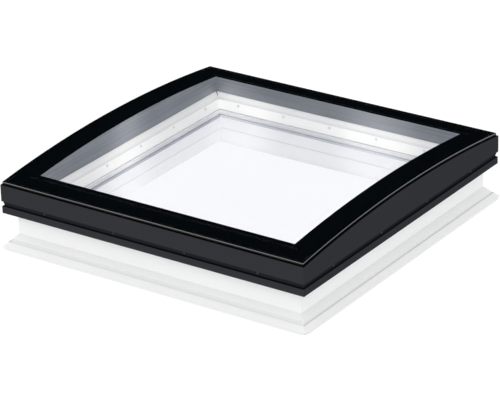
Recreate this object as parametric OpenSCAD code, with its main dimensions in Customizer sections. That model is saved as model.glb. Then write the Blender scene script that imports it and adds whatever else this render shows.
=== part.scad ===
// Fixed roof skylight: a hollow plastic kerb, a double-glazed unit in its own frame,
// and an aluminium weather cover that carries one arched pane.
// Millimetres, +Z up. The origin lies on the roof surface, at the centre of the opening.
// X runs along the straight glass edges, Y along the arched ones.
// Sections are drawn as [out, up]: out from the edge of the clear opening, up from the roof.

/* [Opening] */
// Clear opening along the straight glass edges
opening_x = 800; // [600:10:1200]
// Clear opening along the arched glass edges
opening_y = 800; // [600:10:1200]

/* [Kerb] */
// Kerb profile, inner wall to outer wall
kerb_w = 102; // [92:1:130]
// Kerb's inner wall, from the roof up to the joint
kerb_inner_h = 70.5; // [58:0.5:120]
// Wall of the hollow plastic profiles
pvc_t = 3; // [2:0.5:3.5]
// Base flange, beyond the outer wall
flange_out = 38; // [32:1:60]
// Upright nose at the edge of the flange
nose_h = 7.5; // [6:0.5:20]
// Flashing groove in the flange slope: width
flashing_w = 11; // [6:0.5:12]
// Flashing groove: depth
flashing_deep = 3; // [1:0.5:4]
// Flashing groove: distance out from the wall
flashing_out = 19.5; // [16:0.5:22]
// Rebate for the lining of the room: width
lining_w = 40; // [15:1:45]
// Rebate for the lining of the room: height
lining_h = 32; // [10:1:40]
// Welded flange corner, trimmed this far along each side
corner_trim = 15; // [8:1:24]
// Welded flange corner, cut back at the top of the nose
corner_blunt = 3; // [1:0.5:5]

/* [Glazing frame] */
// Glazing frame, inner wall to back
frame_w = 52; // [49:1:58]
// Open joint between kerb and glazing frame
joint_gap = 1; // [0.8:0.1:3]
// Glazing frame from its foot to the rebate for the glass
sill_h = 37.5; // [30:0.5:50]
// Rebate that the glass unit lies in
rebate_w = 26; // [24:0.5:28]
// Bead seat above the glass unit
bead_seat_h = 8; // [6:0.5:11]
// Bead seat, from the rebate to the frame's upright
bead_seat_w = 10; // [9:0.5:13]
// Joint seal: width
joint_seal_w = 8; // [5:0.5:12]
// Joint seal: distance from the inner wall
joint_seal_in = 10; // [6:0.5:16]
// Joint seal: depth of its groove in the glazing frame
joint_seal_sunk = 2; // [1:0.5:3]

/* [Glass unit] */
// Inner pane
inner_pane_t = 4; // [4:1:10]
// Gas space
cavity_h = 12; // [10:1:20]
// Outer pane
outer_pane_t = 4; // [4:1:8]
// Bedding gasket: thickness
bedding_t = 4; // [2:0.5:5]
// Bedding gasket: distance from the edge of the opening
bedding_in = 1; // [0.5:0.5:6]
// Free space round the edge of the glass unit
edge_gap = 5; // [4:0.5:6]
// Spacer bar: width
spacer_w = 8; // [6:0.5:10]
// Spacer bar: distance from the edge of the opening
spacer_in = 8.5; // [7:0.5:10]
// Fine groove between the spacer bar's ribs
rib_gap = 0.9; // [0.5:0.1:1.5]
// Setting block: length
block_l = 100; // [60:5:140]

/* [Beads and gasket] */
// Glazing gasket: thickness
gasket_t = 1; // [1:0.25:3]
// Bead overhang in front of the rebate
bead_over = 11; // [9:0.5:12]
// Bead face: height
bead_face_h = 30; // [24:1:40]
// Bead face: lean over its height
bead_lean = 4; // [2:0.5:5]
// Bead ledge: rise towards the cover
ledge_rise = 9.3; // [5:0.1:14]
// Bead ledge: thickness
ledge_t = 4; // [3:0.5:5]

/* [Cover] */
// Cladding face, beyond the kerb's outer wall
skirt_out = 33; // [30:1:45]
// Glass edge behind the cladding face
glass_inset = 5; // [3:0.5:8]
// Top of the glass edge above the carrier's foot
cover_h = 44.4; // [38:0.2:60]
// Rise of the arched glass
arc_rise = 33; // [15:1:60]
// Cover glass
glass_t = 5; // [4:0.5:8]
// Black border layer under the glass
border_t = 1; // [0.8:0.1:2]
// Bond between border and carrier
bond_t = 3; // [2:0.5:5]
// Bond: width
bond_w = 20; // [12:1:30]
// Weather seal at the glass edge: width
weather_w = 10; // [6:1:16]
// Carrier's lap over the glazing frame
carrier_lap = 2; // [1:0.5:6]
// Carrier wall
carrier_t = 2.5; // [2:0.25:4]
// Carrier's screw tab
tab_t = 3; // [2:0.5:4]
// Seal under the carrier: thickness
cover_seal_t = 3; // [2:0.5:5]
// Seal under the carrier: width
cover_seal_w = 28; // [16:1:34]
// Cladding sheet
skin_t = 2; // [1.5:0.25:2.5]
// Skirt below the carrier's foot
skirt_drop = 56.3; // [50:0.1:66]
// Skirt lip: height of its outer face
lip_h = 22.3; // [16:0.1:28]
// Skirt lip, behind the cladding face
lip_set = 1; // [0.5:0.5:2]
// Ledge on the lip: fall from the groove's back to the lip's outer face
lip_fall = 3; // [1:0.5:4]
// Screw groove: height of its back
groove_h = 13; // [11:0.5:18]
// Screw groove: greatest depth
groove_deep = 6.5; // [6:0.5:8]
// Screw groove: lean of its back
groove_lean = 3.5; // [1:0.25:4]
// Corner key: leg
key_leg = 90; // [70:5:130]
// Corner key: height
key_h = 20; // [12:1:26]

/* [Fixings] */
// Shank of every screw
shank_d = 4.2; // [3.5:0.1:5]
// Head of every screw: diameter
head_d = 7.5; // [6.5:0.1:9]
// Head of every screw: height
head_h = 2.4; // [2:0.1:3]
// Head of every screw: upright rim
rim_h = 1.2; // [0.6:0.1:1.6]
// Head of every screw: flat on top
head_flat_d = 5; // [4:0.1:6]
// Cross recess in the head: width
recess_w = 0.9; // [0.6:0.1:1.4]
// Cross recess in the head: length of each slot
recess_l = 3.8; // [3:0.1:4.5]
// Cross recess in the head: depth
recess_deep = 1.2; // [0.6:0.1:1.6]
// Pointed tip of every screw
tip_l = 3; // [2:0.5:5]
// Thread beyond the last wall that a screw passes
thread_bite = 12; // [6:1:16]
// Cladding screws on each side
cladding_screw_n = 4; // [3:1:6]
// First cladding screw from the cladding corner
cladding_screw_end = 158; // [110:1:200]
// Bead screws on each side
bead_screw_n = 5; // [3:1:7]
// First bead screw from the bead corner
bead_screw_end = 72; // [50:1:110]
// Bead screws below the ledge
bead_screw_drop = 7.5; // [6:0.5:11]
// Bead screws: seat behind the leaning face
bead_seat_sunk = 0.5; // [0.25:0.25:1.5]
// Frame screws on each side
frame_screw_n = 3; // [2:1:3]
// First frame screw from the corner of the opening
frame_screw_end = 70; // [50:1:90]
// Bracket: length along the side
bracket_l = 40; // [25:1:60]
// Bracket: sheet
bracket_t = 3; // [2:0.5:4]
// Bracket: height on the kerb's outer wall
bracket_h = 40; // [34:1:50]
// Bracket: below the carrier's foot
bracket_drop = 8; // [6:1:12]
// Bracket screws below the top of the bracket
bracket_screw_drop = 24; // [18:1:28]

/* [Clearances] */
// Glazing frame in the kerb
frame_gap = 2; // [1:0.5:3]
// Bead ledge below the carrier's foot
ledge_gap = 0.7; // [0.3:0.1:2]
// Insulating core in its chamber, and keys in theirs
core_gap = 0.3; // [0.2:0.1:0.6]
// Screw shank in its bore, on the radius
bore_gap = 0.15; // [0.1:0.05:0.3]
// Screw head in its spot face, on the radius
head_gap = 0.25; // [0.15:0.05:0.5]
// Tip of a bead screw to the back wall of the glazing frame
tip_gap = 1; // [0.5:0.5:3]
// Cladding's top edge to the carrier
skin_gap = 0.5; // [0.3:0.1:1]

/* [Hidden] */

// Heights, stacked up from the roof
z_frame = kerb_inner_h + joint_gap;
z_rebate = z_frame + sill_h;
z_inner_pane = z_rebate + bedding_t;
z_cavity = z_inner_pane + inner_pane_t;
z_outer_pane = z_cavity + cavity_h;
z_glass_unit = z_outer_pane + outer_pane_t;
z_bead_seat = z_glass_unit + bead_seat_h;
z_bead_face = z_glass_unit + gasket_t;
z_ledge = z_bead_face + bead_face_h;
z_foot = z_ledge + ledge_rise + ledge_gap;
z_kerb = z_foot - cover_seal_t;
z_glass_edge = z_foot + cover_h;
z_lip = z_foot - skirt_drop;
z_lip_top = z_lip + lip_h;
z_groove = z_lip_top + lip_fall;
z_face = z_groove + groove_h;
z_bead_screw = z_ledge - bead_screw_drop;
z_frame_screw = z_cavity + cavity_h / 2;
z_cladding_screw = z_groove + groove_h / 2;
z_bracket = z_foot - bracket_drop;
z_bracket_screw = z_bracket - bracket_screw_drop;

// Distances out from the edge of the opening
nose_out = kerb_w + flange_out;
seat_out = frame_w + frame_gap;
upright_out = rebate_w + bead_seat_w;
unit_out = rebate_w - edge_gap;
bead_out = rebate_w - bead_over;
ledge_out = bead_out + bead_lean;
bead_screw_out = ledge_out - bead_lean * bead_screw_drop / bead_face_h + bead_seat_sunk;
carrier_in = frame_w - carrier_lap;
face_out = kerb_w + skirt_out;
glass_out = face_out - glass_inset;
lip_out = face_out - lip_set;
groove_out = face_out - groove_deep;
cladding_screw_out = groove_out + groove_lean * (groove_h - head_d) / (2 * groove_h);
carrier_out = groove_out - skin_t;
skin_in = carrier_out + skin_gap;
tab_in = carrier_out - tab_t;
web_out = (carrier_in + carrier_out) / 2;
cover_seal_out = (seat_out + kerb_w) / 2;

flange_h = nose_h + flange_out;
slope_t = pvc_t * sqrt(2);
mitre_over = 10;
mitre_out = nose_out + mitre_over;

// Screw lengths from the underside of the head
cladding_screw_l = cladding_screw_out - tab_in + bracket_t + thread_bite;
bead_screw_l = frame_w - pvc_t - tip_gap - bead_screw_out;
frame_screw_l = seat_out - rebate_w + pvc_t + thread_bite;
bracket_screw_l = bracket_t + pvc_t + thread_bite;

// The glass arches over Y: one cylinder along X, and its layers going down
arc_y = opening_y / 2 + glass_out;
arc_r = (arc_y * arc_y + arc_rise * arc_rise) / (2 * arc_rise);
z_crown = z_glass_edge + arc_rise;
seat_drop = glass_t + border_t + bond_t;
arc_fn = 720;
screw_fn = 24;
eps = 0.5;

SIDES = [0, 1, 2, 3];
WHITE = "#f2f3f1";
BARE = "#a8aeb5";
DARK = "#383a3d";
BLACK = "#0d0d0e";
PALE = "#c4c7c9";
GREY = "#a2a5ac";
STEEL = "#8f9396";
CLEAR = [0.78, 0.88, 0.86, 0.35];

// Half of the opening across a side, and along it. Sides count round from +X.
function half_out(side) = (side % 2 == 0 ? opening_x : opening_y) / 2;
function half_along(side) = (side % 2 == 0 ? opening_y : opening_x) / 2;

// Places for n pieces along a side, the outer two at end from the corner of a frame that is out wide
function places(side, out, end, n) =
    [for (i = [0 : n - 1]) (half_along(side) + out - end) * (2 * i / (n - 1) - 1)];

function cladding_spots(side) = places(side, face_out, cladding_screw_end, cladding_screw_n);
function bead_spots(side) = places(side, bead_out, bead_screw_end, bead_screw_n);
function frame_spots(side) = places(side, 0, frame_screw_end, frame_screw_n);

// Setting blocks stand midway between the middle of a side and its outer frame screws
function block_spots(side) = places(side, 0, frame_screw_end, 2) / 2;

// Height of the bead's ledge at a distance out
function ledge_z(out) = z_ledge + ledge_rise * (out - ledge_out) / (frame_w - ledge_out);

// One side of a frame: its section, run along the side and mitred at both ends
module side_bar(side, past = 0) {
    along = half_along(side) + past;
    rotate([0, 0, 90 * side])
        translate([half_out(side), 0, 0])
            intersection() {
                rotate([90, 0, 0])
                    linear_extrude(height = 2 * (along + mitre_out), center = true)
                        children();
                translate([0, 0, -eps])
                    linear_extrude(height = z_crown + 2 * eps)
                        polygon([[-mitre_over, mitre_over - along], [mitre_out, -along - mitre_out],
                            [mitre_out, along + mitre_out], [-mitre_over, along - mitre_over]]);
            }
}

// All four sides of a section as one piece, welded or moulded at the corners
module ring() {
    union()
        for (side = SIDES)
            side_bar(side)
                children();
}

// A band of the section: a rectangle from in to out and from low to high
module band(in, out, low, high) {
    translate([in, low])
        square([out - in, high - low]);
}

// A flat pane that ends at out
module pane(out, low, thickness) {
    translate([0, 0, low])
        linear_extrude(height = thickness)
            square([opening_x + 2 * out, opening_y + 2 * out], center = true);
}

// Everything below the arch, this far under the top of the glass
module arch(drop) {
    translate([0, 0, z_crown - arc_r])
        rotate([0, 90, 0])
            cylinder(r = arc_r - drop, h = opening_x + 2 * mitre_out, center = true, $fn = arc_fn);
}

// An arched layer between two drops, over the plan of its children
module arch_layer(top, bottom) {
    intersection() {
        difference() {
            arch(top);
            arch(bottom);
        }
        translate([0, 0, z_foot])
            linear_extrude(height = z_crown - z_foot + eps)
                children();
    }
}

// Plan of a frame from in to out
module frame_plan(in, out) {
    difference() {
        square([opening_x + 2 * out, opening_y + 2 * out], center = true);
        square([opening_x + 2 * in, opening_y + 2 * in], center = true);
    }
}

// Children at each place along a side, with +X pointing out of the opening
module along_side(side, out, up, spots) {
    rotate([0, 0, 90 * side])
        for (spot = spots)
            translate([half_out(side) + out, spot, up])
                children();
}

// Round-headed screw with a cross recess. The head rests on X = 0 and looks to +X.
module screw(shank_l) {
    rotate([0, 90, 0])
        difference() {
            rotate_extrude($fn = screw_fn)
                polygon([[0, -shank_l], [shank_d / 2, tip_l - shank_l], [shank_d / 2, 0], [head_d / 2, 0],
                    [head_d / 2, rim_h], [head_flat_d / 2, head_h], [0, head_h]]);
            for (turn = [0, 90])
                rotate([0, 0, turn])
                    translate([0, 0, head_h])
                        cube([recess_l, recess_w, 2 * recess_deep], center = true);
        }
}

// Bore for a shank, running from X = -deep to X = ahead
module bore(deep, ahead = eps) {
    translate([-deep, 0, 0])
        rotate([0, 90, 0])
            cylinder(r = shank_d / 2 + bore_gap, h = deep + ahead, $fn = screw_fn);
}

// Flat seat for a screw head, open towards +X
module spot_face(ahead) {
    rotate([0, 90, 0])
        cylinder(r = head_d / 2 + head_gap, h = ahead, $fn = screw_fn);
}

// Outline of the kerb's main chamber, or of the core that fills it, drawn in from the walls
module core_section(wall) {
    polygon([[lining_w + wall, wall], [kerb_w - wall, wall], [kerb_w - wall, z_kerb - wall],
        [seat_out + wall, z_kerb - wall], [seat_out + wall, kerb_inner_h - wall], [wall, kerb_inner_h - wall],
        [wall, lining_h + wall], [lining_w + wall, lining_h + wall]]);
}

// Slot square to the flange slope, at the flashing groove
module flashing_slot(width, deep) {
    translate([kerb_w + flashing_out, flange_h - flashing_out])
        rotate(-45)
            translate([-width / 2, -deep])
                square([width, deep + eps]);
}

module kerb_section() {
    difference() {
        polygon([[lining_w, 0], [nose_out, 0], [nose_out, nose_h], [kerb_w, flange_h], [kerb_w, z_kerb],
            [seat_out, z_kerb], [seat_out, kerb_inner_h], [0, kerb_inner_h], [0, lining_h],
            [lining_w, lining_h]]);
        core_section(pvc_t);
        difference() {
            polygon([[kerb_w, pvc_t], [nose_out - pvc_t, pvc_t], [nose_out - pvc_t, nose_h + pvc_t - slope_t],
                [kerb_w, flange_h - slope_t]]);
            flashing_slot(flashing_w + 2 * pvc_t, flashing_deep + pvc_t);
        }
        flashing_slot(flashing_w, flashing_deep);
    }
}

// Undercut facet at one flange corner, left by trimming the weld
module corner_cut() {
    reach = corner_trim / sqrt(2);
    translate([opening_x / 2 + nose_out, opening_y / 2 + nose_out, 0])
        rotate([0, 0, 45])
            translate([-reach, 0, 0])
                rotate([0, -atan(nose_h / (reach - corner_blunt)), 0])
                    translate([0, -corner_trim, -nose_h * 2])
                        cube([corner_trim * 2, corner_trim * 2, nose_h * 2]);
}

module kerb_frame() {
    color(WHITE)
        difference() {
            ring() kerb_section();
            for (mx = [0, 1], my = [0, 1])
                mirror([mx, 0, 0])
                    mirror([0, my, 0])
                        corner_cut();
            kerb_bores();
        }
}

// Bores that the frame screws and bracket screws cut in the kerb and its core
module kerb_bores() {
    for (side = SIDES) {
        along_side(side, rebate_w, z_frame_screw, frame_spots(side))
            mirror([1, 0, 0])
                bore(frame_screw_l);
        along_side(side, kerb_w + bracket_t, z_bracket_screw, cladding_spots(side))
            bore(bracket_screw_l);
    }
}

module kerb_core() {
    color("#e9edf0")
        difference() {
            ring() core_section(pvc_t + core_gap);
            kerb_bores();
        }
}

module joint_seal() {
    color(BLACK)
        ring()
            band(joint_seal_in, joint_seal_in + joint_seal_w, kerb_inner_h, z_frame + joint_seal_sunk);
}

module glazing_frame_section() {
    chamber_z = z_frame + joint_seal_sunk + pvc_t;
    back = frame_w - pvc_t;
    front = upright_out + pvc_t;
    difference() {
        polygon([[0, z_frame], [frame_w, z_frame], [frame_w, ledge_z(frame_w) - ledge_t],
            [upright_out, ledge_z(upright_out) - ledge_t], [upright_out, z_bead_seat], [rebate_w, z_bead_seat],
            [rebate_w, z_rebate], [0, z_rebate]]);
        polygon([[pvc_t, chamber_z], [back, chamber_z], [back, ledge_z(back) - ledge_t - pvc_t],
            [front, ledge_z(front) - ledge_t - pvc_t], [front, z_bead_seat - pvc_t],
            [rebate_w + pvc_t, z_bead_seat - pvc_t], [rebate_w + pvc_t, z_rebate - pvc_t],
            [pvc_t, z_rebate - pvc_t]]);
        band(joint_seal_in, joint_seal_in + joint_seal_w, z_frame - eps, z_frame + joint_seal_sunk);
    }
}

module glazing_frame() {
    color(WHITE)
        difference() {
            ring() glazing_frame_section();
            for (side = SIDES) {
                along_side(side, rebate_w, z_frame_screw, frame_spots(side))
                    mirror([1, 0, 0])
                        bore(frame_screw_l);
                along_side(side, bead_screw_out, z_bead_screw, bead_spots(side))
                    mirror([1, 0, 0])
                        bore(bead_screw_l);
            }
        }
}

module frame_screws() {
    color(STEEL)
        for (side = SIDES)
            along_side(side, rebate_w, z_frame_screw, frame_spots(side))
                mirror([1, 0, 0])
                    screw(frame_screw_l);
}

module bedding_gasket() {
    color(GREY)
        ring() band(bedding_in, unit_out, z_rebate, z_inner_pane);
}

module setting_blocks() {
    color("#2f3a4a")
        for (side = SIDES)
            along_side(side, unit_out, z_inner_pane, block_spots(side))
                translate([0, -block_l / 2, 0])
                    cube([edge_gap, block_l, z_outer_pane - z_inner_pane]);
}

module inner_pane() {
    color(CLEAR)
        pane(unit_out, z_inner_pane, inner_pane_t);
}

// Spacer between the panes, with two fine grooves along its inner face
module spacer_bar() {
    color(PALE)
        ring()
            difference() {
                band(spacer_in, spacer_in + spacer_w, z_cavity, z_outer_pane);
                for (part = [1 / 3, 2 / 3])
                    translate([spacer_in, z_cavity + cavity_h * part])
                        square(rib_gap, center = true);
            }
}

module edge_sealant() {
    color(BLACK)
        ring() band(spacer_in + spacer_w, unit_out, z_cavity, z_outer_pane);
}

module outer_pane() {
    color(CLEAR)
        pane(unit_out, z_outer_pane, outer_pane_t);
}

module glazing_gasket() {
    color(GREY)
        ring() band(bead_out, rebate_w, z_glass_unit, z_bead_face);
}

// Hollow bead: a leaning face in front of the frame's upright, and a ledge over it
module bead(side) {
    color(WHITE)
        difference() {
            side_bar(side)
                difference() {
                    polygon([[upright_out, z_bead_seat], [rebate_w, z_bead_seat], [rebate_w, z_bead_face],
                        [bead_out, z_bead_face], [ledge_out, z_ledge], [frame_w, ledge_z(frame_w)],
                        [frame_w, ledge_z(frame_w) - ledge_t], [upright_out, ledge_z(upright_out) - ledge_t]]);
                    band(ledge_out + pvc_t, upright_out - pvc_t, z_bead_seat + pvc_t, z_ledge - ledge_t);
                }
            along_side(side, bead_screw_out, z_bead_screw, bead_spots(side))
                mirror([1, 0, 0]) {
                    bore(bead_screw_l);
                    spot_face(bead_lean);
                }
        }
}

module bead_screws() {
    color(STEEL)
        for (side = SIDES)
            along_side(side, bead_screw_out, z_bead_screw, bead_spots(side))
                mirror([1, 0, 0])
                    screw(bead_screw_l);
}

module cover_seal() {
    color(BLACK)
        ring()
            band(cover_seal_out - cover_seal_w / 2, cover_seal_out + cover_seal_w / 2, z_kerb, z_foot);
}

// Bent brackets on the kerb's outer wall: the cladding screws pull the cover against them
module kerb_brackets() {
    color(BARE)
        for (side = SIDES)
            difference() {
                along_side(side, 0, 0, cladding_spots(side))
                    rotate([90, 0, 0])
                        linear_extrude(height = bracket_l, center = true) {
                            band(kerb_w, kerb_w + bracket_t, z_bracket - bracket_h, z_bracket);
                            band(kerb_w, tab_in, z_bracket - bracket_t, z_bracket);
                            band(tab_in - bracket_t, tab_in, z_groove, z_bracket);
                        }
                along_side(side, kerb_w + bracket_t, z_bracket_screw, cladding_spots(side))
                    bore(bracket_screw_l);
                along_side(side, cladding_screw_out, z_cladding_screw, cladding_spots(side))
                    bore(cladding_screw_l + eps);
            }
}

module bracket_screws() {
    color(STEEL)
        for (side = SIDES)
            along_side(side, kerb_w + bracket_t, z_bracket_screw, cladding_spots(side))
                screw(bracket_screw_l);
}

// Box rail under the glass, its top cut to the arch. A lip on its inner wall hides the bond,
// and a tab runs down the back of the cladding.
module carrier(side) {
    color(BARE)
        difference() {
            union() {
                intersection() {
                    side_bar(side) band(carrier_in, carrier_out, z_foot, z_crown);
                    arch(seat_drop);
                }
                intersection() {
                    side_bar(side) band(carrier_in, carrier_in + carrier_t, z_foot, z_crown);
                    arch(glass_t + border_t);
                }
                side_bar(side) band(tab_in, carrier_out, z_groove - skin_t, z_foot + eps);
            }
            intersection() {
                side_bar(side, 1) {
                    band(carrier_in + carrier_t, web_out - carrier_t / 2, z_foot + carrier_t, z_crown);
                    band(web_out + carrier_t / 2, carrier_out - carrier_t, z_foot + carrier_t, z_crown);
                }
                arch(seat_drop + carrier_t);
            }
            along_side(side, cladding_screw_out, z_cladding_screw, cladding_spots(side))
                bore(cladding_screw_l);
        }
}

// One angle in each corner, in the inner chambers of the two carriers that meet there
module corner_keys() {
    low = carrier_in + carrier_t + core_gap;
    high = web_out - carrier_t / 2 - core_gap;
    color(BARE)
        for (mx = [0, 1], my = [0, 1])
            mirror([mx, 0, 0])
                mirror([0, my, 0])
                    translate([opening_x / 2 + high, opening_y / 2 + high, z_foot + carrier_t])
                        linear_extrude(height = key_h)
                            difference() {
                                translate([-key_leg, -key_leg])
                                    square(key_leg);
                                translate([-key_leg - eps, -key_leg - eps])
                                    square(key_leg + eps + low - high);
                            }
}

// Painted cover rail: a flat face that ends at the arch, a screw groove below it and a skirt lip
module cladding(side) {
    color(DARK)
        difference() {
            union() {
                intersection() {
                    side_bar(side)
                        polygon([[face_out, z_crown], [face_out, z_face], [groove_out + groove_lean, z_face],
                            [groove_out, z_groove], [lip_out, z_lip_top], [lip_out, z_lip],
                            [lip_out - skin_t, z_lip], [lip_out - skin_t, z_lip_top - skin_t],
                            [carrier_out, z_groove - skin_t], [carrier_out, z_face + skin_t],
                            [face_out - skin_t, z_face + skin_t], [face_out - skin_t, z_crown]]);
                    arch(seat_drop);
                }
                intersection() {
                    side_bar(side) band(skin_in, face_out, z_foot, z_crown);
                    difference() {
                        arch(seat_drop);
                        arch(seat_drop + skin_t);
                    }
                }
            }
            along_side(side, cladding_screw_out, z_cladding_screw, cladding_spots(side)) {
                bore(cladding_screw_l);
                spot_face(groove_deep);
            }
        }
}

module cladding_screws() {
    color(DARK)
        for (side = SIDES)
            along_side(side, cladding_screw_out, z_cladding_screw, cladding_spots(side))
                screw(cladding_screw_l);
}

module glass_bond() {
    low = carrier_in + carrier_t;
    color(BLACK)
        arch_layer(glass_t + border_t, seat_drop)
            frame_plan(low, low + bond_w);
}

module weather_seal() {
    color(BLACK)
        arch_layer(glass_t + border_t, seat_drop)
            frame_plan(carrier_out - weather_w, carrier_out);
}

module black_border() {
    color(BLACK)
        arch_layer(glass_t, glass_t + border_t)
            frame_plan(carrier_in, glass_out);
}

module cover_glass() {
    color(CLEAR)
        arch_layer(0, glass_t)
            square([opening_x + 2 * glass_out, opening_y + 2 * glass_out], center = true);
}

kerb_frame();
kerb_core();
joint_seal();
glazing_frame();
frame_screws();
bedding_gasket();
setting_blocks();
inner_pane();
spacer_bar();
edge_sealant();
outer_pane();
glazing_gasket();
bead(0);  // bead_right
bead(1);  // bead_rear
bead(2);  // bead_left
bead(3);  // bead_front
bead_screws();
cover_seal();
kerb_brackets();
bracket_screws();
carrier(0);  // carrier_right
carrier(1);  // carrier_rear
carrier(2);  // carrier_left
carrier(3);  // carrier_front
corner_keys();
cladding(0);  // cladding_right
cladding(1);  // cladding_rear
cladding(2);  // cladding_left
cladding(3);  // cladding_front
cladding_screws();
glass_bond();
weather_seal();
black_border();
cover_glass();
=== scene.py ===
"""A fixed roof skylight: white kerb, double-glazed unit, and a dark cover with one arched pane."""

import math

import bpy
from mathutils import Matrix, Vector


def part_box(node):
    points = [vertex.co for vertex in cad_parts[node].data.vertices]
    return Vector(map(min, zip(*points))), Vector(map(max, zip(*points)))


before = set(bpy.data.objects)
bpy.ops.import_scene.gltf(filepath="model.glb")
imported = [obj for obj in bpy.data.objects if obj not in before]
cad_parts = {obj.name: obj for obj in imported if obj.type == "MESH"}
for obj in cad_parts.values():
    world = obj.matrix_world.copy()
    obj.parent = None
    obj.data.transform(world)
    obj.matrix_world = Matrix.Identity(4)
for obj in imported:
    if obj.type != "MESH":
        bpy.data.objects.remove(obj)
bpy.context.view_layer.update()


# Kerb, glazing frame and beads: white plastic profiles, with faint lines from the extruder's die. Kerb and
# frame are welded at the mitres and trimmed to a fine seam, and the beads are screwed on. The bead ledges,
# the flange's slopes and its nose are painted darker. Painted shade lies in the flange's groove and along
# the groove's foot and on the glazing frame's inner wall, and painted light whitens the inside.
class Wire:
    """One output of a node tree. Arithmetic on it adds Math nodes."""

    def __init__(self, shading, socket):
        self.shading = shading
        self.socket = socket

    def math(self, operation, *values):
        return self.shading.add("ShaderNodeMath", {"operation": operation}, dict(enumerate(values)))

    def __add__(self, other):
        return self.math("ADD", self, other)

    def __radd__(self, other):
        return self.math("ADD", other, self)

    def __sub__(self, other):
        return self.math("SUBTRACT", self, other)

    def __rsub__(self, other):
        return self.math("SUBTRACT", other, self)

    def __mul__(self, other):
        return self.math("MULTIPLY", self, other)

    def __rmul__(self, other):
        return self.math("MULTIPLY", other, self)

    def __truediv__(self, other):
        return self.math("DIVIDE", self, other)

    def __rtruediv__(self, other):
        return self.math("DIVIDE", other, self)

    def __abs__(self):
        return self.math("ABSOLUTE", self)

    def root(self):
        return self.math("SQRT", self)

    def larger(self, other):
        return self.math("MAXIMUM", self, other)

    def ease(self, low, high):
        """Runs smoothly from 0 at low to 1 at high. High may be the smaller of the two."""
        limits = {"Value": self, "From Min": low, "From Max": high}
        return self.shading.add("ShaderNodeMapRange", {"interpolation_type": "SMOOTHSTEP"}, limits)


class Shading:
    """The node tree of one material or of the studio, with one method for every node in it."""

    def __init__(self, block):
        block.use_nodes = True
        self.block = block
        self.tree = block.node_tree
        self.tree.nodes.clear()

    def add(self, kind, settings, sockets, out=0):
        """Adds a node: its settings first, then the values or links of its sockets."""
        node = self.tree.nodes.new(kind)
        for name, value in settings.items():
            setattr(node, name, value)
        for name, value in sockets.items():
            if isinstance(value, Wire):
                self.tree.links.new(value.socket, node.inputs[name])
            else:
                node.inputs[name].default_value = value
        return Wire(self, node.outputs[out]) if node.outputs else None

    def split(self, vector):
        """The three parts of a vector."""
        parts = self.add("ShaderNodeSeparateXYZ", {}, {"Vector": vector}).socket.node.outputs
        return [Wire(self, part) for part in parts]

    def spot(self):
        return self.add("ShaderNodeTexCoord", {}, {}, "Object")

    def facing_up(self):
        """1 on a face that looks up, 0 on an upright one, and -1 on one that looks down."""
        return self.split(self.add("ShaderNodeTexCoord", {}, {}, "Normal"))[2]

    def round_frame(self, spot):
        """How far out a spot on a square frame lies, how far along its side, and how high."""
        x, y, up = self.split(spot)
        out = abs(x).larger(abs(y))
        return out, abs(x) + abs(y) - out, up

    def lengthwise(self, spot):
        """1 on the two sides of a square frame that run along X, and 0 on the other two."""
        x, y, up = self.split(spot)
        return (abs(y) - abs(x)).ease(-0.001, 0.001)

    def light_pools(self, spot, x_middle, y_middle):
        """1 in the pools of painted light, fading to 0 round them.

        They lie round x_middle on the sides along X, round y_middle on the other two, and in the rear left
        corner, where the pool reaches further along the rear side than along the left one.
        """
        x_half = 0.19
        y_half = 0.13
        x, y, up = self.split(spot)
        out, along, up = self.round_frame(spot)
        lengthwise = self.lengthwise(spot)
        long_patch = (1 - abs(x - x_middle).ease(0.0, x_half)) * lengthwise
        cross_patch = (1 - abs(y - y_middle).ease(0.0, y_half)) * (1 - lengthwise)
        rear_left = (y - x).ease(0.2, 0.6)
        corner_reach = 0.11 + lengthwise * 0.1
        corner_patch = ((out - along) / corner_reach).ease(1.0, 0.0) * rear_left
        return long_patch.larger(cross_patch).larger(corner_patch)

    def drawn(self, spot, pull):
        """Spots whose patterns are drawn out along the sides of the frame by the factor pull."""
        out, along, up = self.round_frame(spot)
        return self.add("ShaderNodeCombineXYZ", {}, {"X": out, "Y": along / pull, "Z": up})

    def noise(self, spot, scale, detail=3.0):
        sockets = {"Vector": spot, "Scale": scale, "Detail": detail}
        return self.add("ShaderNodeTexNoise", {}, sockets, "Fac")

    def tint(self, amount, low, high):
        """A colour from low to high. Either may be three numbers or a colour already made."""
        ends = [colour if isinstance(colour, Wire) else (*colour, 1.0) for colour in (low, high)]
        low_socket, high_socket, colour_out = 6, 7, 2
        sockets = {"Factor": amount, low_socket: ends[0], high_socket: ends[1]}
        return self.add("ShaderNodeMix", {"data_type": "RGBA"}, sockets, colour_out)

    def relief(self, height, depth):
        """A normal for a height of 0 to 1 that stands for depth in metres."""
        return self.add("ShaderNodeBump", {}, {"Height": height, "Distance": depth}, "Normal")

    def surface(self, sockets):
        return self.add("ShaderNodeBsdfPrincipled", {}, sockets, "BSDF")

    def over(self, amount, low, high):
        """Shader low, covered by shader high by the given amount."""
        return self.add("ShaderNodeMixShader", {}, {0: amount, 1: low, 2: high})

    def paint(self, shader, *nodes):
        """Ends the material in shader and puts it on these pieces."""
        self.add("ShaderNodeOutputMaterial", {}, {"Surface": shader})
        for node in nodes:
            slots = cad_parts[node].data.materials
            slots.clear()
            slots.append(self.block)


plastic = Shading(bpy.data.materials.new("white_plastic"))
spot = plastic.spot()
out, along, up = plastic.round_frame(spot)
from_mitre = out - along
facing_up = plastic.facing_up()
lengthwise = plastic.lengthwise(spot)
die_lines = plastic.noise(plastic.drawn(spot, 120.0), 700.0)
cloud = plastic.noise(spot, 5.0)
seam = 1 - from_mitre.ease(0.0002, 0.0011)

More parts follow.
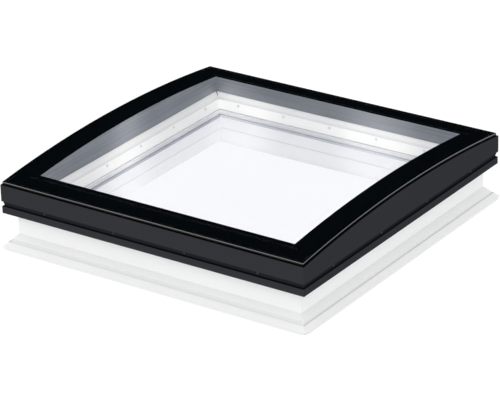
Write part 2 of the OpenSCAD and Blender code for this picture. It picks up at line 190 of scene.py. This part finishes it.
bead_low, bead_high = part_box("bead_rear")
outside = out.ease(bead_high.y, bead_high.y + 0.002)
inside = 1 - outside
bead = up.ease(bead_low.z - 0.001, bead_low.z) * inside
ledge_drop = 0.0093
ledge_z = bead_high.z - ledge_drop
on_top = facing_up.ease(0.6, 0.8) * bead
# The bead ledges are painted darker toward their front edge, with a darker line along that edge.
ledge_darkening = on_top * (1 - up.ease(ledge_z + 0.001, ledge_z + 0.006))
ledge_edge_line = on_top * (1 - up.ease(ledge_z - 0.0005, ledge_z + 0.0035))
gap_z = ledge_z + 0.004
open_mitre = (1 - from_mitre.ease(0.0014, 0.0019)) * up.ease(gap_z - 0.0003, gap_z + 0.0003)

sill_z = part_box("bedding_gasket")[0].z
joint_z = sill_z - 0.038
sill_line = up.ease(sill_z - 0.0006, sill_z - 0.0004) * (1 - bead) * inside
# Painted shade on the inside of the glazing frame below the beads.
frame_wall_shade = up.ease(joint_z - 0.0005, joint_z + 0.0005) * (1 - bead) * inside

kerb_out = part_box("kerb_frame")[1].x
nose_h = 0.008
# The outside below the nose's height, at the flange's nose, is painted darker.
darker_nose = outside * (1 - up.ease(nose_h - 0.0005, nose_h + 0.0005))
above_nose = up.ease(nose_h + 0.004, nose_h + 0.006)
sunk = (kerb_out + nose_h - 0.0005 - out - up) * outside
# Painted shade in the flange's groove, stronger on the sides along X.
groove_shade = sunk.ease(0.001, 0.003) * above_nose
down_slope = out - up - kerb_out
groove_end = -0.037
# Painted shadow: a dark line along the foot of the groove, stronger on the arched sides.
groove_foot_shadow = outside * above_nose * down_slope.ease(groove_end - 0.006, groove_end)
groove_foot_shadow = groove_foot_shadow * (1 - down_slope.ease(groove_end + 0.001, groove_end + 0.0035))
below_groove = down_slope.ease(groove_end, groove_end + 0.004) * 0.2
# The flange's upward slopes are painted darker, more on the sides along X and below the groove.
slope_darkening = outside * facing_up.ease(0.4, 0.6) * (0.2 + lengthwise * 0.1 + below_groove)

white = plastic.tint(cloud.ease(0.3, 0.7), (0.868, 0.871, 0.874), (0.881, 0.883, 0.884))
# Painted light: the inside is painted whiter, most of all the beads and the arched sides.
white = plastic.tint(inside * bead.larger(1 - lengthwise).larger(0.4), white, (0.950, 0.952, 0.954))
white = plastic.tint(slope_darkening, white, (0.78, 0.785, 0.785))
white = plastic.tint(darker_nose * 0.85, white, (0.76, 0.765, 0.765))
white = plastic.tint(groove_shade * (0.1 + lengthwise * 0.3), white, (0.72, 0.725, 0.725))
white = plastic.tint(groove_foot_shadow * (0.45 - lengthwise * 0.3), white, (0.45, 0.455, 0.455))
white = plastic.tint(seam * 0.04, white, (0.58, 0.59, 0.60))
white = plastic.tint(ledge_darkening * (0.4 + lengthwise * 0.25), white, (0.72, 0.73, 0.745))
white = plastic.tint(frame_wall_shade * 0.25, white, (0.78, 0.80, 0.84))
white = plastic.tint(ledge_edge_line * 0.4, white, (0.62, 0.63, 0.65))
white = plastic.tint(sill_line, white, (0.50, 0.51, 0.56))
white = plastic.tint(open_mitre, white, (0.05, 0.05, 0.055))
plastic.paint(
    plastic.surface(
        {
            "Base Color": white,
            "Roughness": 0.36 + die_lines * 0.14,
            "Specular IOR Level": 0.3,
            "Normal": plastic.relief(die_lines - seam, 0.00005),
        }
    ),
    "kerb_frame",
    "glazing_frame",
    "bead_right",
    "bead_rear",
    "bead_left",
    "bead_front",
)


# Insulating core: white closed-cell foam that fills the kerb's main chamber. It is cut from
# board and pushed in before the corners are welded.
foam = Shading(bpy.data.materials.new("core_foam"))
spot = foam.spot()
cells = foam.add("ShaderNodeTexVoronoi", {}, {"Vector": spot, "Scale": 420.0}, "Distance")
foam.paint(
    foam.surface(
        {
            "Base Color": foam.tint(cells.ease(0.2, 0.7), (0.80, 0.82, 0.84), (0.88, 0.90, 0.92)),
            "Roughness": 0.9,
            "Normal": foam.relief(cells, 0.0006),
        }
    ),
    "kerb_core",
)


# Black rubber seals: extruded strips between kerb and glazing frame, and under the cover. They
# lie in grooves or on flat seats and are held by pressure.
rubber = Shading(bpy.data.materials.new("black_rubber"))
spot = rubber.spot()
bloom = rubber.noise(spot, 60.0)
streaks = rubber.noise(rubber.drawn(spot, 60.0), 500.0)
rubber.paint(
    rubber.surface(
        {
            "Base Color": rubber.tint(bloom.ease(0.35, 0.75), (0.010, 0.010, 0.011), (0.024, 0.024, 0.025)),
            "Roughness": 0.60 + bloom * 0.25,
            "Normal": rubber.relief(streaks, 0.0001),
        }
    ),
    "joint_seal",
    "cover_seal",
)


# Plain steel screws: they hold the glazing frame in the kerb, the beads on the glazing frame
# and the brackets on the kerb. Cold headed, thread rolled, with a bright zinc coat.
steel = Shading(bpy.data.materials.new("screw_steel"))
spot = steel.spot()
dulled = steel.noise(spot, 900.0)
steel.paint(
    steel.surface(
        {
            "Base Color": steel.tint(dulled.ease(0.3, 0.7), (0.70, 0.71, 0.73), (0.84, 0.85, 0.86)),
            "Metallic": 1.0,
            "Roughness": 0.28 + dulled * 0.2,
            "Normal": steel.relief(dulled, 0.00005),
        }
    ),
    "frame_screws",
    "bead_screws",
    "bracket_screws",
)


# Setting blocks: moulded plastic packers between the edge of the glass unit and the rebate. They
# are pushed in by hand and keep the glass off the frame.
blocks = Shading(bpy.data.materials.new("block_plastic"))
spot = blocks.spot()
mottle = blocks.noise(spot, 260.0)
blocks.paint(
    blocks.surface(
        {
            "Base Color": blocks.tint(mottle.ease(0.3, 0.7), (0.030, 0.044, 0.075), (0.045, 0.062, 0.10)),
            "Roughness": 0.45 + mottle * 0.15,
            "Normal": blocks.relief(mottle, 0.0001),
        }
    ),
    "setting_blocks",
)


# Glass unit: two panes of clear float glass on a pale ribbed spacer, sealed round the edge with
# black sealant, in the rebate of the glazing frame. Such sealant also holds the cover pane.
def clear_pane(pane, tint, ground):
    """Clear glass that lamps shine through. Its upright sides show the shader ground."""
    mirror = pane.add("ShaderNodeBsdfGlossy", {}, {"Color": (1, 1, 1, 1), "Roughness": 0.0})
    clear = pane.add("ShaderNodeBsdfRefraction", {}, {"Color": (*tint, 1.0), "IOR": 1.5, "Roughness": 0.0})
    fresnel = pane.add("ShaderNodeFresnel", {}, {"IOR": 1.5})
    body = pane.over(fresnel * 0.04, clear, mirror)
    path = "ShaderNodeLightPath"
    lit = pane.add(path, {}, {}, "Is Shadow Ray").larger(pane.add(path, {}, {}, "Is Diffuse Ray"))
    body = pane.over(lit, body, pane.add("ShaderNodeBsdfTransparent", {}, {"Color": (*tint, 1.0)}))
    return pane.over(1 - abs(pane.facing_up()).ease(0.3, 0.6), body, ground)


unit_glass = Shading(bpy.data.materials.new("unit_glass"))
grit = unit_glass.noise(unit_glass.spot(), 1400.0)
ground = unit_glass.surface(
    {
        "Base Color": unit_glass.tint(grit, (0.10, 0.14, 0.13), (0.13, 0.18, 0.17)),
        "Roughness": 0.5,
        "Normal": unit_glass.relief(grit, 0.0001),
    }
)
unit_glass.paint(clear_pane(unit_glass, (0.983, 0.985, 0.990), ground), "inner_pane", "outer_pane")

spacer = Shading(bpy.data.materials.new("spacer_grey"))
spot = spacer.spot()
ribs = spacer.noise(spacer.drawn(spot, 200.0), 1200.0)
sheen = spacer.noise(spot, 4.0, 1.0)
# Painted light: the spacer is painted paler all round, more on the arched sides, on its top face and in the
# pools of light.
painted_lift = 0.45 - spacer.lengthwise(spot) * 0.15 + spacer.facing_up().ease(0.5, 0.8) * 0.4
painted_lift = painted_lift + spacer.light_pools(spot, x_middle=0.17, y_middle=-0.075) * 0.5
pale = spacer.tint(sheen.ease(0.35, 0.65), (0.57, 0.59, 0.61), (0.72, 0.74, 0.76))
pale = spacer.tint(painted_lift, pale, (0.95, 0.96, 0.98))
spacer.paint(
    spacer.surface(
        {
            "Base Color": spacer.tint(ribs.ease(0.35, 0.65) * 0.3, pale, (0.50, 0.51, 0.53)),
            "Roughness": 0.40 + ribs * 0.15,
            "Normal": spacer.relief(ribs, 0.0001),
        }
    ),
    "spacer_bar",
)

sealant = Shading(bpy.data.materials.new("black_sealant"))
spot = sealant.spot()
tooled = sealant.noise(sealant.drawn(spot, 12.0), 160.0)
sealant.paint(
    sealant.surface(
        {
            "Base Color": sealant.tint(tooled, (0.003, 0.003, 0.003), (0.008, 0.008, 0.009)),
            "Roughness": 0.45 + tooled * 0.2,
            "Specular IOR Level": 0.2,
            "Normal": sealant.relief(tooled, 0.0004),
        }
    ),
    "edge_sealant",
    "glass_bond",
    "weather_seal",
)


# Grey gaskets: flat rubber strips that the glass unit lies on, and thin ones between it and the
# beads. Their corners are mitred and glued. Painted light makes the thin ones near white, and the flat
# ones paler on the sides along X and in the pools.
gasket = Shading(bpy.data.materials.new("grey_gasket"))
spot = gasket.spot()
x, y, up = gasket.split(spot)
skin = gasket.noise(gasket.drawn(spot, 80.0), 600.0)
pane_low, pane_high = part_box("inner_pane")
above_unit = up.ease(pane_low.z, pane_high.z)
lengthwise = gasket.lengthwise(spot)
pale = gasket.light_pools(spot, x_middle=0.17, y_middle=-0.075)
# Painted light: paler on the sides along X and in the pools of light.
painted_paler = lengthwise * 0.2 + pale * (0.18 + lengthwise * 0.2)
grey = gasket.tint(skin.ease(0.3, 0.7), (0.46, 0.47, 0.525), (0.53, 0.54, 0.595))
gasket.paint(
    gasket.surface(
        {
            "Base Color": gasket.tint(above_unit.larger(painted_paler), grey, (0.96, 0.96, 0.97)),
            "Roughness": 0.55 + skin * 0.15,
            "Specular IOR Level": 0.3,
            "Normal": gasket.relief(skin, 0.0001),
        }
    ),
    "bedding_gasket",
    "glazing_gasket",
)


# Bare aluminium: the carrier rails under the glass, their corner keys, and the brackets on the kerb.
# Extruded and left in mill finish, with the long drawing lines of the die. Pools of painted reflection
# brighten it, and painted shade darkens part of the rails along X.
metal = Shading(bpy.data.materials.new("bare_aluminium"))
spot = metal.spot()
x, y, up = metal.split(spot)
fine_lines = metal.noise(metal.drawn(spot, 250.0), 1500.0)
broad_lines = metal.noise(metal.drawn(spot, 60.0), 130.0)
patches = metal.noise(spot, 3.0)
shade = (fine_lines * 0.3 + broad_lines * 0.4 + patches * 0.3).ease(0.35, 0.65)
# Painted shade on part of the rails along X, toward the left.
painted_dark_stretch = metal.lengthwise(spot) * x.ease(0.35, 0.1)
# Painted reflection: pools of studio light, mixed in as a lit copy of the metal.
painted_reflection = metal.light_pools(spot, x_middle=0.162, y_middle=-0.022) * 0.38
dull_metal = metal.tint(shade, (0.215, 0.235, 0.27), (0.305, 0.325, 0.36))
dull_metal = metal.tint(painted_dark_stretch * 0.2, dull_metal, (0.16, 0.175, 0.20))
lit_metal = metal.tint(shade, (0.50, 0.52, 0.57), (0.66, 0.68, 0.73))
metal.paint(
    metal.surface(
        {
            "Base Color": metal.tint(painted_reflection, dull_metal, lit_metal),
            "Metallic": 0.7,
            "Roughness": 0.34 + fine_lines * 0.2,
            "Normal": metal.relief(fine_lines * 0.6 + broad_lines * 0.4, 0.0001),
        }
    ),
    "carrier_right",
    "carrier_rear",
    "carrier_left",
    "carrier_front",
    "corner_keys",
    "kerb_brackets",
)


# Cover: four mitred aluminium cladding rails with a dark powder coat, screwed to the brackets
# through the groove. Painted shade darkens the groove, its ledge, the arched rails and the seat under the
# glass.
paint_coat = Shading(bpy.data.materials.new("dark_paint"))
spot = paint_coat.spot()
out, along, up = paint_coat.round_frame(spot)
peel = paint_coat.noise(spot, 700.0)
fleck = paint_coat.noise(spot, 2400.0, 1.0)
mitre = 1 - (out - along).ease(0.0002, 0.0008)
behind_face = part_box("cladding_right")[1].x - out
# Painted shade deep in the groove.
cladding_groove_shade = behind_face.ease(0.0012, 0.0020)
screw_low, screw_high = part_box("cladding_screws")
half_groove_h = 0.0065
lip_fall = 0.003
ledge_z = (screw_low.z + screw_high.z) / 2 - half_groove_h
lip_z = ledge_z - lip_fall
above_lip = up.ease(lip_z - 0.0008, lip_z - 0.0003)
# Painted shadow on the ledge above the lip, a little lighter on the arched rails.
ledge_shadow = behind_face.ease(0.0005, 0.0009) * above_lip * (1 - up.ease(ledge_z - 0.001, ledge_z))
arched_side = 1 - paint_coat.lengthwise(spot)
# Painted shade: the upward faces under the glass edge are painted near black.
shade_under_glass = paint_coat.facing_up().ease(0.7, 0.9) * up.ease(screw_high.z, screw_high.z + 0.01)
coat = paint_coat.tint(fleck.ease(0.35, 0.7), (0.0290, 0.0300, 0.0352), (0.0336, 0.0346, 0.0402))
coat = paint_coat.tint(cladding_groove_shade, coat, (0.017, 0.0175, 0.021))
coat = paint_coat.tint(ledge_shadow * (1 - arched_side * 0.2), coat, (0.0035, 0.0035, 0.005))
# Painted shade: the arched rails are painted a shade darker.
coat = paint_coat.tint(arched_side * 0.12, coat, (0.002, 0.002, 0.003))
coat = paint_coat.tint(shade_under_glass, coat, (0.0015, 0.0015, 0.002))
coat = paint_coat.tint(mitre * 0.6, coat, (0.012, 0.012, 0.014))
paint_coat.paint(
    paint_coat.surface(
        {
            "Base Color": coat,
            "Roughness": 0.7 + peel * 0.1,
            "Specular IOR Level": 0.01,
            "Normal": paint_coat.relief(peel * 0.7 + fleck * 0.3 - mitre, 0.00003),
        }
    ),
    "cladding_right",
    "cladding_rear",
    "cladding_left",
    "cladding_front",
)

dark_screw = Shading(bpy.data.materials.new("dark_screw"))
spot = dark_screw.spot()
worn = dark_screw.noise(spot, 800.0)
dark_screw.paint(
    dark_screw.surface(
        {
            "Base Color": dark_screw.tint(worn.ease(0.4, 0.7), (0.029, 0.030, 0.033), (0.046, 0.047, 0.050)),
            "Roughness": 0.45 + worn * 0.2,
            "Specular IOR Level": 0.2,
            "Normal": dark_screw.relief(worn, 0.00005),
        }
    ),
    "cladding_screws",
)


# Cover pane: one arched sheet of clear glass, bonded to the carrier rails. A black enamel border is fired
# on its underside, greyer on its thin inner edge. The pane's ground edge has a painted highlight on top and
# is painted dark below.
enamel = Shading(bpy.data.materials.new("black_enamel"))
spot = enamel.spot()
out, along, up = enamel.round_frame(spot)
pinholes = enamel.noise(spot, 500.0)
border_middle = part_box("black_border")[1].x - 0.04
upright = 1 - abs(enamel.facing_up()).ease(0.3, 0.6)
inner_edge = upright * out.ease(border_middle + 0.01, border_middle - 0.01)
black = enamel.tint(pinholes, (0.0012, 0.0024, 0.0034), (0.0018, 0.0032, 0.0042))
enamel.paint(
    enamel.surface(
        {
            "Base Color": enamel.tint(inner_edge, black, (0.23, 0.25, 0.29)),
            "Roughness": 0.35 + pinholes * 0.1,
            "Specular IOR Level": 0.0,
        }
    ),
    "black_border",
)

cover_glass = Shading(bpy.data.materials.new("clear_glass"))
spot = cover_glass.spot()
x, y, up = cover_glass.split(spot)
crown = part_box("cover_glass")[1]
edge_z = max(v.co.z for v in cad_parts["cover_glass"].data.vertices if v.co.y > crown.y - 0.0002)
rise = crown.z - edge_z
radius = (crown.y * crown.y + rise * rise) / (2 * rise)
arch_z = crown.z - radius + (radius * radius - y * y).root()
below_top = arch_z - up
grit = cover_glass.noise(spot, 1400.0)
# Painted highlight along the top of the ground edge, and painted dark below it, for the black border seen
# through the glass.
edge_highlight = below_top.ease(0.0003, 0.0009) * (1 - below_top.ease(0.0018, 0.0024)) * (0.85 + grit * 0.3)
ground = cover_glass.surface(
    {
        "Base Color": cover_glass.tint(edge_highlight, (0.002, 0.003, 0.003), (0.22, 0.23, 0.235)),
        "Roughness": 0.5,
        "Normal": cover_glass.relief(grit, 0.0001),
    }
)
cover_glass.paint(clear_pane(cover_glass, (0.995, 0.995, 0.996), ground), "cover_glass")


# Studio: a pale lit floor, a soft sky that is a little brighter to the left and the front, and a dark
# flag behind the object, which keeps the pane's gloss from washing out the border.
bpy.ops.mesh.primitive_plane_add(size=80.0, location=(0.0, 0.0, -0.0005))
floor = bpy.context.object
floor.name = "floor"
floor_white = Shading(bpy.data.materials.new("floor_white"))
sheet = floor_white.surface(
    {
        "Base Color": (0.08, 0.08, 0.08, 1.0),
        "Roughness": 0.9,
        "Specular IOR Level": 0.0,
        "Emission Color": (1.0, 1.0, 1.0, 1.0),
        "Emission Strength": 0.97,
    }
)
floor_white.add("ShaderNodeOutputMaterial", {}, {"Surface": sheet})
floor.data.materials.append(floor_white.block)

studio = bpy.data.worlds.new("studio")
bpy.context.scene.world = studio
sky = Shading(studio)
flag_azimuth = math.radians(-36.0)
flag_height = math.radians(24.0)
flag_inner = math.radians(22.0)
flag_outer = math.radians(32.0)
flag = (
    math.sin(flag_azimuth) * math.cos(flag_height),
    math.cos(flag_azimuth) * math.cos(flag_height),
    math.sin(flag_height),
)
towards = sky.add("ShaderNodeTexCoord", {}, {}, "Generated")
x, y, z = sky.split(towards)
near_flag = x * flag[0] + y * flag[1] + z * flag[2]
shaded = near_flag.ease(math.cos(flag_outer), math.cos(flag_inner))
strength = (1.09 - x * 0.065 - y * 0.03) * (1 - shaded * 0.98)
light = sky.add("ShaderNodeBackground", {}, {"Color": (1.0, 1.0, 1.0, 1.0), "Strength": strength})
sky.add("ShaderNodeOutputWorld", {}, {"Surface": light})

softbox = bpy.data.lights.new("softbox", "AREA")
softbox.size = 3.0
softbox.energy = 16.0
lamp = bpy.data.objects.new("softbox", softbox)
lamp.location = (-2.5, -4.0, 4.0)
lamp.rotation_euler = (Vector((0.0, 0.0, 0.1)) - lamp.location).to_track_quat("-Z", "Y").to_euler()
bpy.context.scene.collection.objects.link(lamp)
bpy.context.scene.view_settings.view_transform = "Standard"


# Camera: a long lens from the front right, above the object. Three narrow lamps at its place light the
# inner frame in soft pools, as bands of studio light do in the photo.
lens = bpy.data.cameras.new("camera")
lens.sensor_width = 36.0
lens.lens = 203.5
lens.shift_x = -0.0007
lens.shift_y = -0.0017
lens.clip_end = 200.0
camera = bpy.data.objects.new("camera", lens)
stand = Vector((4.4330, -6.3248, 3.6020))
yaw, pitch, roll = (math.radians(angle) for angle in (-35.106, 24.512, -1.627))
turn = (
    Matrix.Rotation(-yaw, 4, "Z")
    @ Matrix.Rotation(math.pi / 2 - pitch, 4, "X")
    @ Matrix.Rotation(roll, 4, "Z")
)
camera.matrix_world = Matrix.Translation(stand) @ turn
bpy.context.scene.collection.objects.link(camera)
bpy.context.scene.camera = camera

# Each pool: its name, where it is aimed, half its width, half its height, and the lamp's power.
pools = (
    ("left_pool", Vector((-0.43, -0.058, 0.14)), 0.077, 0.215, 1000),
    ("corner_pool", Vector((-0.345, 0.43, 0.138)), 0.120, 0.235, 790),
    ("rear_pool", Vector((0.165, 0.43, 0.14)), 0.130, 0.220, 660),
)
for name, aim, half_width, half_height, watts in pools:
    throw = aim - stand
    beam = bpy.data.lights.new(name, "SPOT")
    beam.energy = watts
    beam.color = (1.0, 0.965, 0.89)
    beam.spot_size = 2 * math.atan(half_height / throw.length)
    beam.spot_blend = 0.6
    beam.shadow_soft_size = 0.05
    lamp = bpy.data.objects.new(name, beam)
    lamp.location = stand
    lamp.rotation_euler = throw.to_track_quat("-Z", "Y").to_euler()
    lamp.scale = (half_width / half_height, 1.0, 1.0)
    bpy.context.scene.collection.objects.link(lamp)
